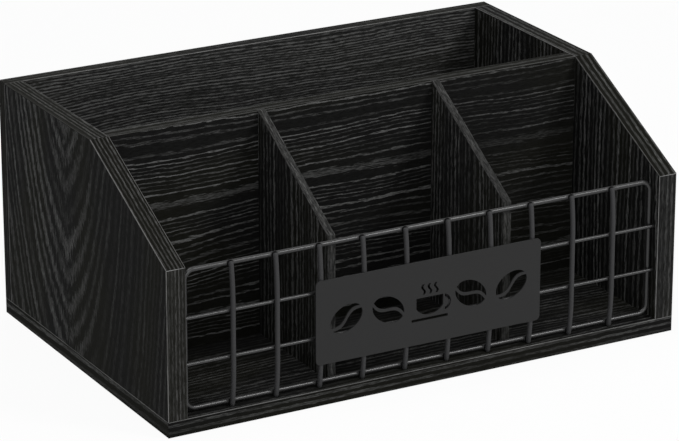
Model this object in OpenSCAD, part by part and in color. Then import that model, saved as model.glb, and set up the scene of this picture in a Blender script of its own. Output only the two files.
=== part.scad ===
// Desktop organizer: a faced-board box with a sloping front, one long rear bay, three front bays,
// and a welded wire grille that carries a pierced sign plate.
// X runs along the width, Y from front to back, Z up. The origin is under the middle of the base.

/* [Overall size] */
// Width over the two side panels
body_w = 350; // [290:1:450]
// Depth from the front edges to the back of the back panel
body_d = 230; // [185:1:320]
// Height of the flat tops above the table
body_h = 154; // [125:1:200]
// Height of the side panels' front edges above the table
front_h = 104; // [85:1:120]

/* [Boards] */
// Thickness of each side panel
side_t = 12.5; // [9:0.5:18]
// Thickness of the base panel
base_t = 10; // [8:0.5:16]
// Thickness of the back panel
back_t = 9; // [8:0.5:15]
// Thickness of the long middle divider
middle_t = 9.5; // [8:0.5:15]
// Thickness of each short divider
short_t = 5.2; // [3:0.1:9]
// Thickness of the edge banding
band_t = 0.6; // [0.4:0.1:1.2]

/* [Layout] */
// Depth of the front bays, from the front edges to the middle divider
front_bay_d = 98.5; // [80:0.5:130]
// Clear width of the centre front bay
centre_bay_w = 116; // [70:1:140]
// Height of the short dividers' front edges above the table
short_front_h = 101.5; // [60:0.5:115]
// Clear gap between the grille and the short dividers
short_to_grille = 3; // [1:0.5:8]

/* [Grille] */
// Diameter of the grille's outer loop wire
loop_d = 3; // [2.4:0.1:4]
// Diameter of the two cross wires
cross_d = 2.2; // [1.6:0.1:3]
// Diameter of the upright wires
upright_d = 3; // [2:0.1:4]
// Number of upright wires
upright_count = 10; // [6:1:14]
// Bend radius of the loop's corners, on the wire's centreline
loop_bend_r = 6; // [4:0.5:12]
// Gap between the loop and each side panel
loop_side_gap = 1; // [0.5:0.1:4]
// Drop from the side panels' front corners to the top of the loop
loop_top_drop = 3.4; // [0:0.1:10]
// Gap between the loop and the base panel
loop_floor_gap = 1.3; // [0.5:0.1:10]
// Gap between the uprights' lower ends and the base panel
upright_floor_gap = 0.4; // [0.3:0.1:5]
// Drop from the top of the loop to the uprights' heads
upright_head_drop = 0.4; // [0.2:0.1:1]
// How far one wire sinks into another at a weld
weld_sink = 0.3; // [0.1:0.05:0.4]
// Straight length of the uprights past the cross wires, before they bow back to the loop
straight_past_weld = 4; // [3:0.5:8]

/* [Sign plate] */
// Width of the sign plate
plate_w = 155; // [120:1:200]
// Height of the sign plate
plate_h = 53; // [48:1:60]
// Thickness of the sign plate
plate_t = 1; // [0.6:0.1:2]
// Corner radius of the sign plate
plate_corner_r = 3; // [1:0.5:8]
// Height of the plate's lower edge above the base panel
plate_rise = 16; // [6:0.5:24]
// Spacing of the five pierced motifs
motif_pitch = 28.5; // [26:0.5:32]
// Length of a pierced coffee bean
bean_len = 23; // [14:0.5:24]
// Width of a pierced coffee bean
bean_w = 16; // [10:0.5:17]
// Width of the metal left along each bean's crease
crease_w = 2; // [1.2:0.1:3]
// Width of the pierced cup's bowl
cup_w = 18.5; // [14:0.5:19]

/* [Joints and fits] */
// Depth of the grooves that house the short dividers
groove_depth = 3; // [1.5:0.25:4]
// Clearance on each face of a groove
groove_gap = 0.1; // [0.05:0.05:0.4]
// Length of each cross wire held in a side panel
wire_bite = 5; // [3:0.5:6]
// Clearance round a cross wire in its hole
wire_hole_gap = 0.15; // [0.05:0.05:0.4]
// Room left past the end of a cross wire
wire_end_gap = 0.5; // [0.2:0.1:1.5]
// Clearance round screws and dowels in their holes
pin_gap = 0.05; // [0.02:0.01:0.2]

/* [Hardware] */
// Diameter of the wood screws
screw_d = 3.5; // [3:0.1:4]
// Length of the wood screws
screw_len = 30; // [25:1:34]
// Diameter of the screws' countersunk heads
screw_head_d = 7; // [6:0.1:8]
// Screws up through the base into each side panel
base_side_screw_count = 3; // [2:1:5]
// Screws up through the base into the middle divider, and into the back panel
base_cross_screw_count = 3; // [2:1:5]
// Screws through the back panel into each side panel
back_screw_count = 2; // [2:1:3]
// Diameter of the dowels at the middle divider's ends
dowel_d = 6; // [5:0.5:6.5]
// Length of each dowel
dowel_len = 22; // [18:1:26]
// Depth of each dowel in a side panel
dowel_bite = 7.5; // [5:0.5:8]

/* [Hidden] */
$fn = 64;
eps = 0.01;
cut = 1;

inner_half_w = body_w / 2 - side_t;
side_len = body_d - back_t;
wall_h = body_h - base_t;
slope_angle = atan2(body_h - front_h, front_bay_d);

loop_half_w = inner_half_w - loop_side_gap - loop_d / 2;
loop_top_z = front_h - loop_top_drop - loop_d / 2;
loop_low_z = base_t + loop_floor_gap + loop_d / 2;
row_pitch = (loop_top_z - loop_low_z) / 3;
cross_z = [loop_low_z + row_pitch, loop_top_z - row_pitch];
cross_mid_z = (loop_low_z + loop_top_z) / 2;
upright_pitch = 2 * loop_half_w / (upright_count + 1);

// Centre planes of the wires, counted back from the plate's face, which is flush with the front edges
upright_y = plate_t + upright_d / 2;
cross_y = upright_y + (upright_d + cross_d) / 2 - weld_sink;
loop_y = cross_y + (cross_d + loop_d) / 2 - weld_sink;
upright_reach = loop_y - (loop_d + upright_d) / 2 + weld_sink - upright_y;

short_front_y = loop_y + loop_d / 2 + short_to_grille;
short_x = centre_bay_w / 2 + short_t / 2;
short_len = front_bay_d - short_front_y;
short_angle = atan2(body_h - short_front_h, short_len);
middle_y = front_bay_d + middle_t / 2;

dowel_z = [base_t + wall_h * 0.28, base_t + wall_h * 0.72];
screw_margin_front = 22;
screw_margin_back = 42;
back_screw_margin = 30;
cross_screw_margin = 45;
screw_tip_len = 4;
head_h = (screw_head_d - screw_d) / 2;
recess_w = 0.9;
recess_len = 4.2;
recess_depth = 1.4;

plate_mid_z = base_t + plate_rise + plate_h / 2;
bean_tilt = 28;
outline_steps = 48;
crease_steps = 12;
crease_bow = 0.14;
cup_h = 0.62 * cup_w;
saucer_w = 1.35 * cup_w;
saucer_t = 1.8;
saucer_gap = 1.5;
handle_r = 0.24 * cup_w;
handle_t = 1.7;
handle_bridge = 1.2;
steam_h = 0.36 * cup_w;
steam_t = 1.5;
steam_pitch = 4.4;
steam_gap = 1.8;
steam_sway = 0.9;
steam_steps = 16;
cup_stack_h = saucer_t + saucer_gap + cup_h + steam_gap + steam_h;

board_colour = "#232323";
inner_colour = "#1e1e1e";
band_colour = "#2c2c2c";
wire_colour = "#383838";
plate_colour = "#303030";
screw_colour = "#8a8a86";
dowel_colour = "#c8a572";

upright_names = [for (i = [1 : upright_count]) str("upright_wire_", i)];

function spaced(first, last, count) = [for (i = [0 : count - 1]) first + (last - first) * i / (count - 1)];
// Shift of the banding's inner corner along an edge, where the board's outline turns by an angle
function turn_shift(angle) = band_t * tan(angle / 2);

side_screw_y = spaced(screw_margin_front, side_len - screw_margin_back, base_side_screw_count);
cross_screw_reach = inner_half_w - cross_screw_margin;
cross_screw_x = spaced(-cross_screw_reach, cross_screw_reach, base_cross_screw_count);
back_screw_z = spaced(base_t + back_screw_margin, body_h - back_screw_margin, back_screw_count);

// Measures Y from the front edges instead of from the origin
module from_front() { translate([0, -body_d / 2, 0]) children(); }

// Board standing in the YZ plane, between two X values, from an outline of [y, z] points
module upright_board(x_low, x_high, outline) {
    translate([x_low, 0, 0])
        rotate([90, 0, 90])
            linear_extrude(x_high - x_low)
                polygon(outline);
}

module slab(low, high) { translate(low) cube(high - low); }

// Countersunk wood screw along +Z, its head's face at the origin
module wood_screw() {
    difference() {
        union() {
            cylinder(d1 = screw_head_d, d2 = screw_d, h = head_h);
            cylinder(d = screw_d, h = screw_len - screw_tip_len);
            translate([0, 0, screw_len - screw_tip_len]) cylinder(d1 = screw_d, d2 = 0, h = screw_tip_len);
        }
        for (turn = [0, 90])
            rotate(turn)
                translate([-recess_len / 2, -recess_w / 2, -cut])
                    cube([recess_len, recess_w, cut + recess_depth]);
    }
}

// Space for that screw, with its clearance
module screw_hole() {
    hole_d = screw_d + 2 * pin_gap;
    translate([0, 0, -eps]) cylinder(d1 = screw_head_d + 2 * pin_gap, d2 = hole_d, h = head_h + eps);
    translate([0, 0, -cut]) cylinder(d = hole_d, h = screw_len + cut);
}

module at_side_screws() {
    for (side = [-1, 1], y = side_screw_y)
        translate([side * (body_w - side_t) / 2, y, 0]) children();
}

module at_middle_screws() { for (x = cross_screw_x) translate([x, middle_y, 0]) children(); }

module at_back_edge_screws() {
    for (x = cross_screw_x) translate([x, side_len + back_t / 2, 0]) children();
}

module at_back_face_screws() {
    for (side = [-1, 1], z = back_screw_z)
        translate([side * (body_w - side_t) / 2, body_d, z]) rotate([90, 0, 0]) children();
}

// Dowel at each end of the middle divider, along X
module dowel_rods(gap) {
    for (side = [-1, 1], z = dowel_z)
        translate([side * (inner_half_w + dowel_bite - dowel_len / 2), middle_y, z])
            rotate([0, 90, 0])
                cylinder(d = dowel_d + 2 * gap, h = dowel_len + 2 * gap, center = true);
}

// Cross wire along X, with a clearance round it and past its ends
module cross_rod(z, gap, end_gap) {
    translate([0, cross_y, z])
        rotate([0, 90, 0])
            cylinder(d = cross_d + 2 * gap, h = 2 * (inner_half_w + wire_bite + end_gap), center = true);
}

module base_panel() {
    color(board_colour) from_front() difference() {
        slab([band_t - body_w / 2, band_t, 0], [body_w / 2 - band_t, body_d - band_t, base_t]);
        at_side_screws() screw_hole();
        at_middle_screws() screw_hole();
        at_back_edge_screws() screw_hole();
        for (side = [-1, 1])
            translate([side * short_x - short_t / 2 - groove_gap, short_front_y, base_t - groove_depth])
                cube([short_t + 2 * groove_gap, short_len + groove_depth, groove_depth + cut]);
    }
}

module base_front_band() {
    color(band_colour) from_front() slab([-body_w / 2, 0, 0], [body_w / 2, band_t, base_t]);
}

module base_back_band() {
    color(band_colour) from_front() slab([-body_w / 2, body_d - band_t, 0], [body_w / 2, body_d, base_t]);
}

module base_end_band(side) {
    color(band_colour) from_front()
        translate([side * (body_w - band_t) / 2 - band_t / 2, band_t, 0])
            cube([band_t, body_d - 2 * band_t, base_t]);
}

// Side panel without its banding
module side_panel(side) {
    x_low = side < 0 ? -body_w / 2 : inner_half_w;
    slope_low = [band_t, front_h - turn_shift(90 - slope_angle)];
    slope_high = [front_bay_d + turn_shift(slope_angle), body_h - band_t];
    outline = [[band_t, base_t], slope_low, slope_high, [side_len, body_h - band_t], [side_len, base_t]];
    color(board_colour) from_front() difference() {
        upright_board(x_low, x_low + side_t, outline);
        for (z = cross_z) cross_rod(z, wire_hole_gap, wire_end_gap);
        dowel_rods(pin_gap);
        at_side_screws() screw_hole();
        at_back_face_screws() screw_hole();
    }
}

module side_band(side, outline) {
    x_low = side < 0 ? -body_w / 2 : inner_half_w;
    color(band_colour) from_front() upright_board(x_low, x_low + side_t, outline);
}

module side_front_band(side) {
    inner_top = front_h - turn_shift(90 - slope_angle);
    side_band(side, [[0, base_t], [0, front_h], [band_t, inner_top], [band_t, base_t]]);
}

module side_slope_band(side) {
    low = [band_t, front_h - turn_shift(90 - slope_angle)];
    high = [front_bay_d + turn_shift(slope_angle), body_h - band_t];
    side_band(side, [[0, front_h], [front_bay_d, body_h], high, low]);
}

module side_top_band(side) {
    low_z = body_h - band_t;
    inner_y = front_bay_d + turn_shift(slope_angle);
    side_band(side, [[front_bay_d, body_h], [side_len, body_h], [side_len, low_z], [inner_y, low_z]]);
}

module back_panel() {
    color(inner_colour) from_front() difference() {
        slab([band_t - body_w / 2, side_len, base_t],
            [body_w / 2 - band_t, body_d, body_h - band_t]);
        at_back_edge_screws() screw_hole();
        at_back_face_screws() screw_hole();
    }
}

module back_top_band() {
    color(band_colour) from_front()
        slab([-body_w / 2, side_len, body_h - band_t], [body_w / 2, body_d, body_h]);
}

module back_end_band(side) {
    color(band_colour) from_front()
        translate([side * (body_w - band_t) / 2 - band_t / 2, side_len, base_t])
            cube([band_t, back_t, wall_h - band_t]);
}

module middle_divider() {
    color(inner_colour) from_front() difference() {
        slab([-inner_half_w, front_bay_d, base_t],
            [inner_half_w, front_bay_d + middle_t, body_h - band_t]);
        dowel_rods(pin_gap);
        at_middle_screws() screw_hole();
        for (side = [-1, 1])
            translate([side * short_x - short_t / 2 - groove_gap, front_bay_d - cut, base_t - cut])
                cube([short_t + 2 * groove_gap, groove_depth + cut, wall_h + 2 * cut]);
    }
}

// Banding along the divider's top, notched where the short dividers run in
module middle_top_band() {
    color(band_colour) from_front() difference() {
        slab([-inner_half_w, front_bay_d, body_h - band_t], [inner_half_w, front_bay_d + middle_t, body_h]);
        for (side = [-1, 1])
            translate([side * short_x - short_t / 2 - groove_gap, front_bay_d - cut, body_h - band_t - cut])
                cube([short_t + 2 * groove_gap, groove_depth + cut, band_t + 2 * cut]);
    }
}

// Short divider, its tongues run into the base panel and the middle divider
module short_divider(side) {
    x_low = side * short_x - short_t / 2;
    tongue_z = base_t - groove_depth + groove_gap;
    tongue_y = front_bay_d + groove_depth - groove_gap;
    slope_low = [short_front_y + band_t, short_front_h - turn_shift(90 - short_angle)];
    slope_high = [front_bay_d + turn_shift(short_angle), body_h - band_t];
    outline = [
        [short_front_y + band_t, tongue_z], slope_low, slope_high,
        [tongue_y, body_h - band_t], [tongue_y, tongue_z]
    ];
    color(inner_colour) from_front() upright_board(x_low, x_low + short_t, outline);
}

module short_front_band(side) {
    x_low = side * short_x - short_t / 2;
    inner_top = short_front_h - turn_shift(90 - short_angle);
    y = short_front_y;
    outline = [[y, base_t], [y, short_front_h], [y + band_t, inner_top], [y + band_t, base_t]];
    color(band_colour) from_front() upright_board(x_low, x_low + short_t, outline);
}

// Banding over the slope and on over the tongue's flat top
module short_slope_band(side) {
    x_low = side * short_x - short_t / 2;
    tongue_y = front_bay_d + groove_depth - groove_gap;
    outline = [
        [short_front_y, short_front_h], [front_bay_d, body_h],
        [tongue_y, body_h], [tongue_y, body_h - band_t],
        [front_bay_d + turn_shift(short_angle), body_h - band_t],
        [short_front_y + band_t, short_front_h - turn_shift(90 - short_angle)]
    ];
    color(band_colour) from_front() upright_board(x_low, x_low + short_t, outline);
}

// Quarter bend of the loop wire in the XZ plane, towards +X and +Z of its centre
module loop_bend() {
    rotate([90, 0, 0])
        rotate_extrude(angle = 90)
            translate([loop_bend_r, 0])
                circle(d = loop_d);
}

// Long straight run of the loop, at its top or bottom
module loop_rail(z) {
    translate([0, loop_y, z])
        rotate([0, 90, 0])
            cylinder(d = loop_d, h = 2 * (loop_half_w - loop_bend_r), center = true);
}

// Short straight run of the loop, at its left or right end
module loop_stile(side) {
    translate([side * loop_half_w, loop_y, cross_mid_z])
        cylinder(d = loop_d, h = loop_top_z - loop_low_z - 2 * loop_bend_r, center = true);
}

module grille_loop() {
    bend_x = loop_half_w - loop_bend_r;
    bend_z = (loop_top_z - loop_low_z) / 2 - loop_bend_r;
    color(wire_colour) from_front() {
        loop_rail(loop_low_z);
        loop_rail(loop_top_z);
        for (side = [-1, 1]) loop_stile(side);
        translate([0, loop_y, cross_mid_z])
            for (turn = [0, 180]) rotate([0, turn, 0]) {
                translate([bend_x, 0, bend_z]) loop_bend();
                translate([bend_x, 0, -bend_z]) rotate([0, 90, 0]) loop_bend();
            }
    }
}

module cross_wire(z) {
    color(wire_colour) from_front() difference() {
        cross_rod(z, 0, 0);
        for (side = [-1, 1]) loop_stile(side);
    }
}

// Upper half of an upright wire, from mid height to its head: straight past the cross wire,
// then bowed back so that it meets the loop
module upright_half(end_over) {
    straight = row_pitch / 2 + straight_past_weld;
    rise = row_pitch - straight_past_weld;
    bow_r = (pow(rise, 2) + pow(upright_reach, 2)) / (2 * upright_reach);
    cylinder(d = upright_d, h = straight);
    translate([0, bow_r, straight])
        rotate([90, 0, -90])
            rotate_extrude(angle = asin((rise + end_over) / bow_r))
                translate([bow_r, 0])
                    circle(d = upright_d);
}

module upright_wire(number) {
    x = (number - (upright_count + 1) / 2) * upright_pitch;
    head_over = loop_d / 2 - upright_head_drop;
    foot_over = loop_low_z - base_t - upright_floor_gap;
    color(wire_colour) from_front() difference() {
        translate([x, upright_y, cross_mid_z]) {
            upright_half(head_over);
            mirror([0, 0, 1]) upright_half(foot_over);
        }
        for (z = cross_z) cross_rod(z, 0, 0);
        for (z = [loop_low_z, loop_top_z]) loop_rail(z);
    }
}

// Half of a coffee bean's outline, cut off along its wavy crease; half is 1 or -1
module bean_half(half) {
    reach = bean_len / 2 + cut;
    crease = [
        for (i = [0 : crease_steps])
            let (t = -1 + 2 * i / crease_steps)
                [t * reach, crease_bow * bean_w * sin(180 * t) + half * crease_w / 2]
    ];
    intersection() {
        polygon([
            for (i = [0 : outline_steps - 1])
                let (a = 360 * i / outline_steps)
                    [bean_len / 2 * cos(a), bean_w / 2 * sin(a)]
        ]);
        polygon(concat(crease, [[reach, half * bean_w], [-reach, half * bean_w]]));
    }
}

module bean() { for (half = [-1, 1]) bean_half(half); }

// Bowl of the cup: straight rim, round belly, standing on its lowest point
module cup_bowl() {
    intersection() {
        translate([-cup_w / 2, 0]) square([cup_w, cup_h]);
        translate([0, cup_h]) scale(cup_h / (cup_w / 2)) circle(d = cup_w);
        translate([0, cup_w / 2]) square([cup_w, cup_w], center = true);
    }
}

module cup_handle() {
    difference() {
        circle(r = handle_r + handle_t / 2);
        circle(r = handle_r - handle_t / 2);
        translate([-2 * handle_r, -2 * handle_r]) square([2 * handle_r + handle_bridge, 4 * handle_r]);
    }
}

// Wavy wisp of steam, standing on its lower end
module steam_wisp() {
    left = [
        for (i = [0 : steam_steps])
            let (t = i / steam_steps)
                [steam_sway * sin(360 * t) - steam_t / 2, steam_h * t]
    ];
    right = [for (i = [steam_steps : -1 : 0]) left[i] + [steam_t, 0]];
    polygon(concat(left, right));
}

module cup() {
    translate([0, -cup_stack_h / 2]) {
        translate([-saucer_w / 2, 0]) square([saucer_w, saucer_t]);
        translate([0, saucer_t + saucer_gap]) {
            cup_bowl();
            translate([cup_w / 2 + eps, cup_h - handle_r - handle_t / 2]) cup_handle();
            for (i = [-1 : 1]) translate([i * steam_pitch, cup_h + steam_gap]) steam_wisp();
        }
    }
}

module plate_outline() {
    hx = plate_w / 2 - plate_corner_r;
    hy = plate_h / 2 - plate_corner_r;
    square([2 * hx, plate_h], center = true);
    square([plate_w, 2 * hy], center = true);
    for (sx = [-1, 1], sy = [-1, 1]) translate([sx * hx, sy * hy]) circle(r = plate_corner_r);
}

module sign_plate() {
    color(plate_colour) from_front()
        translate([0, plate_t, plate_mid_z])
            rotate([90, 0, 0])
                linear_extrude(plate_t)
                    difference() {
                        plate_outline();
                        cup();
                        for (i = [-2, -1, 1, 2])
                            translate([i * motif_pitch, 0])
                                rotate(i % 2 == 0 ? bean_tilt : -bean_tilt)
                                    bean();
                    }
}

module side_screws() { color(screw_colour) from_front() at_side_screws() wood_screw(); }

module middle_screws() { color(screw_colour) from_front() at_middle_screws() wood_screw(); }

module back_edge_screws() { color(screw_colour) from_front() at_back_edge_screws() wood_screw(); }

module back_face_screws() { color(screw_colour) from_front() at_back_face_screws() wood_screw(); }

module dowels() { color(dowel_colour) from_front() dowel_rods(0); }

base_panel();
side_panel(-1);  // left_side_panel
side_panel(1);  // right_side_panel
back_panel();
middle_divider();
short_divider(-1);  // left_short_divider
short_divider(1);  // right_short_divider
base_front_band();
base_back_band();
base_end_band(-1);  // base_left_band
base_end_band(1);  // base_right_band
side_front_band(-1);  // left_side_front_band
side_slope_band(-1);  // left_side_slope_band
side_top_band(-1);  // left_side_top_band
side_front_band(1);  // right_side_front_band
side_slope_band(1);  // right_side_slope_band
side_top_band(1);  // right_side_top_band
back_top_band();
back_end_band(-1);  // back_left_band
back_end_band(1);  // back_right_band
middle_top_band();
short_front_band(-1);  // left_short_front_band
short_slope_band(-1);  // left_short_slope_band
short_front_band(1);  // right_short_front_band
short_slope_band(1);  // right_short_slope_band
grille_loop();
cross_wire(cross_z[0]);  // lower_cross_wire
cross_wire(cross_z[1]);  // upper_cross_wire
for (i = [1 : upright_count]) upright_wire(i);
sign_plate();
side_screws();
middle_screws();
back_edge_screws();
back_face_screws();
dowels();
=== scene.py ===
# %% [markdown]
# # A black countertop organizer, finished in Blender
#
# The object is a small open box of wood-grain faced board: two sides with sloping fronts, a back, a
# long middle divider, two thin short dividers and a welded wire grille with a pierced sign plate.
# The boards come from a CAD model at their real size. This lesson adds what a camera sees: the
# printed grain, the edge banding, the welded wires, the powder coat and the screws.
#
# Every step starts with a cell like this one, which says what the real piece is and why it is made
# the way that follows. The code cells print what they made, so the numbers can be checked.

# %% Load the frame
import math

import bmesh
import bpy
from mathutils import Matrix, Vector


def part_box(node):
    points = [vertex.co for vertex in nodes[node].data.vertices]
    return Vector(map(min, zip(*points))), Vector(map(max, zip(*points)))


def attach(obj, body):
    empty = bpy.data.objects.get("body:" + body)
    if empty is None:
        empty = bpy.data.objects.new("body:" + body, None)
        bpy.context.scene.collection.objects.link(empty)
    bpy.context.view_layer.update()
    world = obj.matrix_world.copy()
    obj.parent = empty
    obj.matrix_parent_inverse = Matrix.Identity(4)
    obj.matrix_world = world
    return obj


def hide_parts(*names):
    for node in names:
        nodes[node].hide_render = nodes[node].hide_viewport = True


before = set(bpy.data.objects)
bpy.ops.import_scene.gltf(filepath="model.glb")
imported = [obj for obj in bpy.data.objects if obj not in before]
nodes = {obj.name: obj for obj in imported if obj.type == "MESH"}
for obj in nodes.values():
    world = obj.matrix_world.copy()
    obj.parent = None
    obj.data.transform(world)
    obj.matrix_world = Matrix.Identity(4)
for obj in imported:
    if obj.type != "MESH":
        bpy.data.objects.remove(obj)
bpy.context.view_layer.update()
scene = bpy.context.scene
MM = 0.001

# %% [markdown]
# ## The camera
#
# The photograph looks down on the box from the front left with a long lens: the boards' edges hardly
# converge. A wide lens held close would show the same faces but would stretch the near corner. The
# lens and the place below were fitted to thirty corners of the boards, so the rendered edges can be
# laid over the photographed ones. The camera is described the way a photographer would: a point to
# aim at, a compass angle, a height angle and a distance.

# %% Camera
AIM = Vector((2.0, 0.0, 66.9)) * MM
CAMERA_AZIMUTH = math.radians(-28.997)
CAMERA_ELEVATION = math.radians(20.014)
CAMERA_DISTANCE = 2266.8 * MM
LENS_MM = 193.25
CLIP_RANGE = (0.05, 60.0)


def direction(azimuth, elevation):
    """Unit vector from the object towards a viewer at that compass angle and height angle."""
    flat = math.cos(elevation)
    return Vector((math.sin(azimuth) * flat, -math.cos(azimuth) * flat, math.sin(elevation)))


def make_camera():
    data = bpy.data.cameras.new("camera")
    data.lens = LENS_MM
    data.clip_start, data.clip_end = CLIP_RANGE
    camera = bpy.data.objects.new("camera", data)
    towards_viewer = direction(CAMERA_AZIMUTH, CAMERA_ELEVATION)
    camera.location = AIM + CAMERA_DISTANCE * towards_viewer
    camera.rotation_euler = (-towards_viewer).to_track_quat("-Z", "Y").to_euler()
    scene.collection.objects.link(camera)
    scene.camera = camera
    return camera


camera = make_camera()
print(f"camera at {tuple(round(c, 4) for c in camera.location)} m, {LENS_MM} mm lens")

# %% [markdown]
# ## Small helpers for node trees
#
# Materials, the world and the wires below are all node trees. Building them in code needs two moves
# again and again: add a node with its inputs filled in, and do a bit of arithmetic between sockets.
# An input is filled with a number, or linked when the value is itself a socket.

# %% Node helpers
def fill(tree, socket, value):
    """Links value to the socket if it is a socket, and sets it as the socket's own value if not."""
    if isinstance(value, bpy.types.NodeSocket):
        tree.links.new(value, socket)
    else:
        socket.default_value = value


def add(tree, kind, inputs=None, **settings):
    """Adds a node, sets its properties, then fills its inputs, which are named or numbered."""
    made = tree.nodes.new(kind)
    for name, value in settings.items():
        setattr(made, name, value)
    for name, value in (inputs or {}).items():
        fill(tree, made.inputs[name], value)
    return made


def result(tree, kind, inputs=None, **settings):
    """Adds a node in that way, and gives its first output."""
    return add(tree, kind, inputs, **settings).outputs[0]


def calc(tree, operation, *values, clamp=False):
    """One Math node's result."""
    return result(tree, "ShaderNodeMath", dict(enumerate(values)), operation=operation, use_clamp=clamp)


def product(tree, value, *others):
    for other in others:
        value = calc(tree, "MULTIPLY", value, other)
    return value


def between(tree, share, low, high):
    """low at share 0, high at share 1, and in proportion between them."""
    return calc(tree, "MULTIPLY_ADD", share, high - low, low)


def ramp(tree, value, low, high, smooth=True):
    """0 below low, 1 above high and a smooth rise between them."""
    kind = "SMOOTHSTEP" if smooth else "LINEAR"
    inputs = {"Value": value, "From Min": low, "From Max": high}
    return result(tree, "ShaderNodeMapRange", inputs, interpolation_type=kind)


def vector(tree, x=0.0, y=0.0, z=0.0):
    return result(tree, "ShaderNodeCombineXYZ", {"X": x, "Y": y, "Z": z})


def noise(tree, point, scale, detail=1.0, roughness=0.5):
    """Noise from 0 to 1, read with each axis scaled by itself, which pulls it out into streaks."""
    scaled = result(tree, "ShaderNodeVectorMath", {0: point, 1: scale}, operation="MULTIPLY")
    inputs = {"Vector": scaled, "Scale": 1.0, "Detail": detail, "Roughness": roughness}
    return result(tree, "ShaderNodeTexNoise", inputs)


def emptied(owner):
    """The node tree of a new material or world, without the nodes that it starts with."""
    owner.use_nodes = True
    owner.node_tree.nodes.clear()
    return owner.node_tree


print("helpers ready: fill, add, result, calc, product, between, ramp, vector, noise, emptied")

# %% [markdown]
# ## Floor, background and light
#
# The photograph is a product shot on pure white. The floor is therefore a pale plane whose own colour
# is mixed with a white glow, but only for rays that come from the camera or from a mirror-like
# surface. All other rays see an ordinary pale floor, so the glow lights nothing. The mix is not
# complete, so the box still leaves a soft shadow where it stands.

# %% Floor and world
WHITE = (1.0, 1.0, 1.0, 1.0)
FLOOR_SIZE = 24.0
FLOOR_DROP = 0.2 * MM
FLOOR_COLOUR = (0.82, 0.82, 0.82, 1.0)
FLOOR_GLOW = 0.93
SKY_COLOUR = (0.95, 0.97, 1.0, 1.0)
SKY_STRENGTH = 0.42


def seen_directly(tree):
    """1 for rays from the camera, from a glossy surface or through glass, and 0 for the rest."""
    path = add(tree, "ShaderNodeLightPath")
    direct = calc(tree, "MAXIMUM", path.outputs["Is Camera Ray"], path.outputs["Is Glossy Ray"])
    return calc(tree, "MAXIMUM", direct, path.outputs["Is Transmission Ray"])


def floor_material():
    material = bpy.data.materials.new("pale_floor")
    tree = emptied(material)
    matte = result(tree, "ShaderNodeBsdfDiffuse", {"Color": FLOOR_COLOUR})
    glow = result(tree, "ShaderNodeEmission", {"Color": WHITE, "Strength": 1.0})
    share = product(tree, seen_directly(tree), FLOOR_GLOW)
    mixed = result(tree, "ShaderNodeMixShader", {0: share, 1: matte, 2: glow})
    add(tree, "ShaderNodeOutputMaterial", {"Surface": mixed})
    return material


def make_floor():
    half = FLOOR_SIZE / 2
    outline = ((-half, -half), (half, -half), (half, half), (-half, half))
    mesh = bpy.data.meshes.new("floor")
    mesh.from_pydata([(x, y, -FLOOR_DROP) for x, y in outline], [], [(0, 1, 2, 3)])
    mesh.materials.append(floor_material())
    floor = bpy.data.objects.new("floor", mesh)
    scene.collection.objects.link(floor)


def make_world():
    scene.world = bpy.data.worlds.new("studio")
    tree = emptied(scene.world)
    sky = result(tree, "ShaderNodeBackground", {"Color": SKY_COLOUR, "Strength": SKY_STRENGTH})
    white = result(tree, "ShaderNodeBackground", {"Color": WHITE, "Strength": 1.0})
    mixed = result(tree, "ShaderNodeMixShader", {0: seen_directly(tree), 1: sky, 2: white})
    add(tree, "ShaderNodeOutputWorld", {"Surface": mixed})


make_floor()
make_world()
scene.view_settings.view_transform = "Standard"
print(f"floor {FLOOR_SIZE} m wide, sky strength {SKY_STRENGTH}")

# %% [markdown]
# Four soft lamps stand in for softboxes. A level wire mirrors a lamp to the camera only when the two
# stand alike on either side of it, so the main lamp is as far to the right as the camera is to the
# left, and its height sets how high on the wire the highlight runs. A large lamp overhead lights the
# tops, a low one in front reaches down into the bays, and a weak one on the left keeps the left side
# from going flat.

# %% Lamps
LAMPS = {
    "main_lamp": ((0.95, -1.4, 1.3), 0.5, 18.5),
    "top_lamp": ((-0.5, 0.1, 2.0), 1.0, 13.0),
    "low_lamp": ((-0.2, -2.3, 0.8), 1.2, 11.0),
    "left_lamp": ((-1.5, -1.7, 1.5), 1.0, 4.0),
}


def make_lamp(name, place, size, power):
    data = bpy.data.lights.new(name, "AREA")
    data.size = size
    data.energy = power
    lamp = bpy.data.objects.new(name, data)
    lamp.location = place
    lamp.rotation_euler = (AIM - Vector(place)).to_track_quat("-Z", "Y").to_euler()
    lamp.visible_camera = False
    scene.collection.objects.link(lamp)


for name, (place, size, power) in LAMPS.items():
    make_lamp(name, place, size, power)
    print(f"{name}: {size} m square, {power} W, at {place}")

# %% [markdown]
# ## The wood-grain facing
#
# The boards are faced with a black film that is printed and embossed with an ash grain. Real grain is
# what a saw shows of a tree's yearly rings. A flat cut near the middle of the trunk shows nested
# arches, and a cut further out shows lines that run along the board. Both come out of one formula:
# the distance of a point from the trunk's axis, when that axis leans a little against the board.
# Dividing that distance by the width of a ring gives a number whose whole part counts the rings and
# whose fraction says where in a ring the point lies.
#
# Image textures could show this too, but they would need a photograph and would repeat. A formula
# stays sharp in a close view. Noise bends the rings slowly along the board, wobbles them finely, and
# makes some stretches dense and others nearly plain.
#
# The group works in millimetres in the board's own directions: X along the grain, Y across it and Z
# through the board. Ring width and the axis's lean and foot place the rings. The two wanders, Wobble,
# Uneven and Fray ruffle them, and Tip draws the arches out to a point near the axis. The lines are
# dim before the Y called Lively past, and again after the X called Quiet past.

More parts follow.
